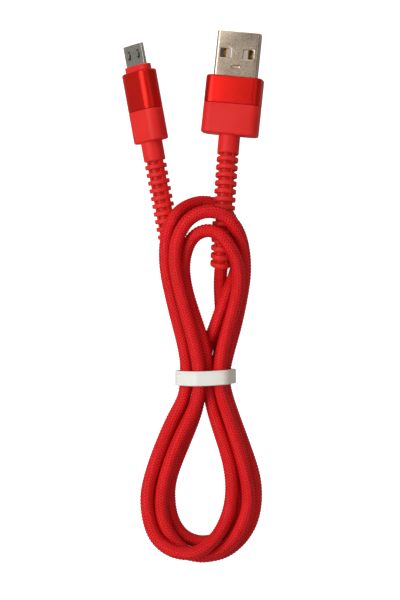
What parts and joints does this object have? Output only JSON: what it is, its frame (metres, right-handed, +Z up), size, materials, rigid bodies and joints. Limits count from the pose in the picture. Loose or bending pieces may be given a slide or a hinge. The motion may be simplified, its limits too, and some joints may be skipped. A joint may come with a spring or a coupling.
{
  "type": "charging cable",
  "caption": "Braided charging cable with a USB-A plug and a micro-USB plug, wound into a two-lobed hank and held by a flat band.",
  "frame": {"origin": "middle of the whole footprint of the hank and plugs, on the table they lie on", "axes": "+X across the hank towards the side of the USB-A plug, +Y along the hank towards the plugs, +Z up from the table"},
  "size_m": [0.0393, 0.1467, 0.0139],
  "materials": {
    "plug_shell": "satin nickel plate on steel",
    "contact": "gold plate",
    "latch_steel": "bright spring steel",
    "anodised_sleeve": "red anodised, satin",
    "soft_red": "soft matte moulding",
    "tongue_light": "plain moulding",
    "tongue_dark": "plain moulding",
    "inner_mould": "plain moulding",
    "wire_red": "insulation",
    "wire_white": "insulation",
    "wire_green": "insulation",
    "wire_black": "insulation",
    "braid": "woven nylon braid, slightly glossy threads",
    "tie": "flat off-white band, slightly glossy"
  },
  "bodies": {
    "cable": {"usb_a_shell": "plug_shell", "usb_a_tongue": "tongue_light", "usb_a_contact_power": "contact", "usb_a_contact_data_minus": "contact", "usb_a_contact_data_plus": "contact", "usb_a_contact_ground": "contact", "usb_a_inner_mould": "inner_mould", "usb_a_sleeve": "anodised_sleeve", "usb_a_housing": "soft_red", "usb_a_strain_relief": "soft_red", "usb_a_wire_power": "wire_red", "usb_a_wire_data_minus": "wire_white", "usb_a_wire_data_plus": "wire_green", "usb_a_wire_ground": "wire_black", "micro_usb_shell": "plug_shell", "micro_usb_tongue": "tongue_dark", "micro_usb_contact_power": "contact", "micro_usb_contact_data_minus": "contact", "micro_usb_contact_data_plus": "contact", "micro_usb_contact_id": "contact", "micro_usb_contact_ground": "contact", "micro_usb_collar": "soft_red", "micro_usb_inner_mould": "inner_mould", "micro_usb_sleeve": "anodised_sleeve", "micro_usb_housing": "soft_red", "micro_usb_strain_relief": "soft_red", "micro_usb_wire_power": "wire_red", "micro_usb_wire_data_minus": "wire_white", "micro_usb_wire_data_plus": "wire_green", "micro_usb_wire_ground": "wire_black", "braided_cord": "braid", "tie_band": "tie"},
    "latch_left": {"micro_usb_latch_left": "latch_steel"},
    "latch_right": {"micro_usb_latch_right": "latch_steel"}
  },
  "joints": [
    {"name": "latch_left_press", "type": "hinge", "parent": "cable", "child": "latch_left", "pos_m": [-0.01644, 0.06142, 0.00377], "axis": [0.7312, 0.1329, 0.6691], "range_deg": [-4, 0], "stiffness_Nm_per_rad": 0.03},
    {"name": "latch_right_press", "type": "hinge", "parent": "cable", "child": "latch_right", "pos_m": [-0.01396, 0.06187, 0.00605], "axis": [0.7312, 0.1329, 0.6691], "range_deg": [-4, 0], "stiffness_Nm_per_rad": 0.03}
  ]
}
